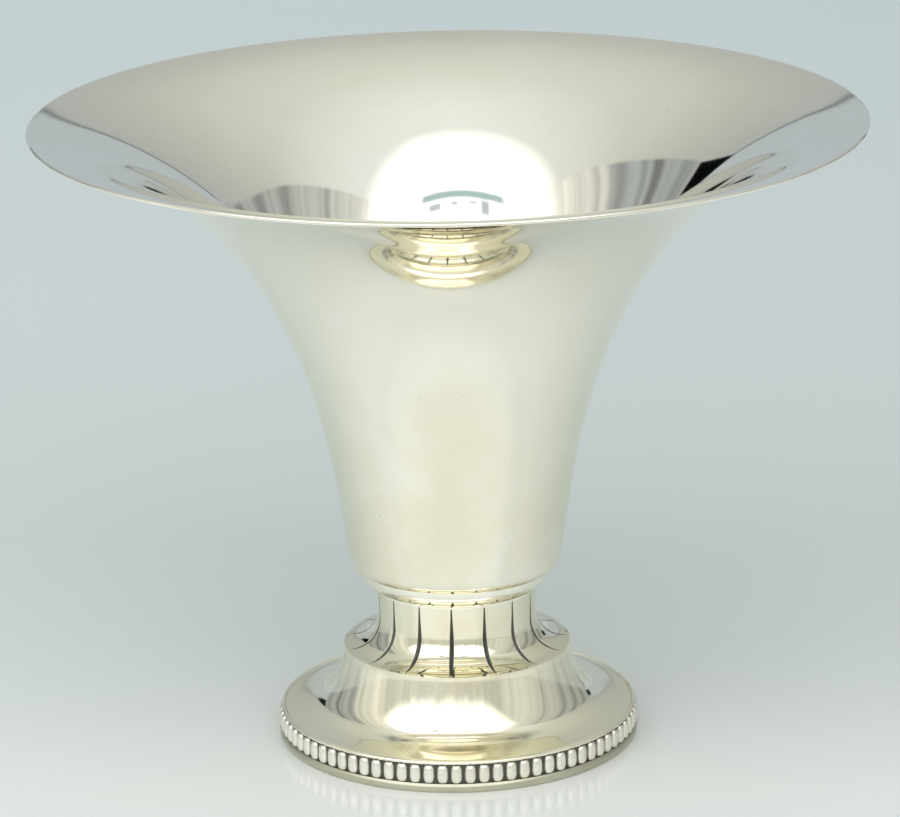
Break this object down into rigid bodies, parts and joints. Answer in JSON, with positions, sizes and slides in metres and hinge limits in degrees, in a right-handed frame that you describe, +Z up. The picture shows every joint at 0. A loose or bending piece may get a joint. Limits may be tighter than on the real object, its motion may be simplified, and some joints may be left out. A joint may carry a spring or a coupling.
{
  "type": "trumpet vase",
  "caption": "Silver trumpet vase: a wide flared bowl on a convex collar, a grooved neck and a low round foot with a bead border.",
  "frame": {"origin": "centre of the foot ring's underside, on the surface the vase stands on", "axes": "+Z up along the vase's axis of revolution, -Y towards the front as pictured, +X to the right"},
  "size_m": [0.2, 0.2, 0.1545],
  "materials": {
    "silver_foot": "mirror-polished silver with fine hairlines",
    "silver_beads": "polished silver beads with dark patina between them",
    "silver_neck": "mirror-polished silver with darkened grooves",
    "silver_bowl": "mirror-polished silver with fine hairlines"
  },
  "bodies": {
    "root": {"foot_ring": "silver_foot", "foot_dome": "silver_foot", "bead_border": "silver_beads", "edge_wire": "silver_foot", "fluted_neck": "silver_neck", "collar_ring": "silver_neck", "trumpet_bowl": "silver_bowl", "rim_wire": "silver_bowl"}
  },
  "joints": []
}
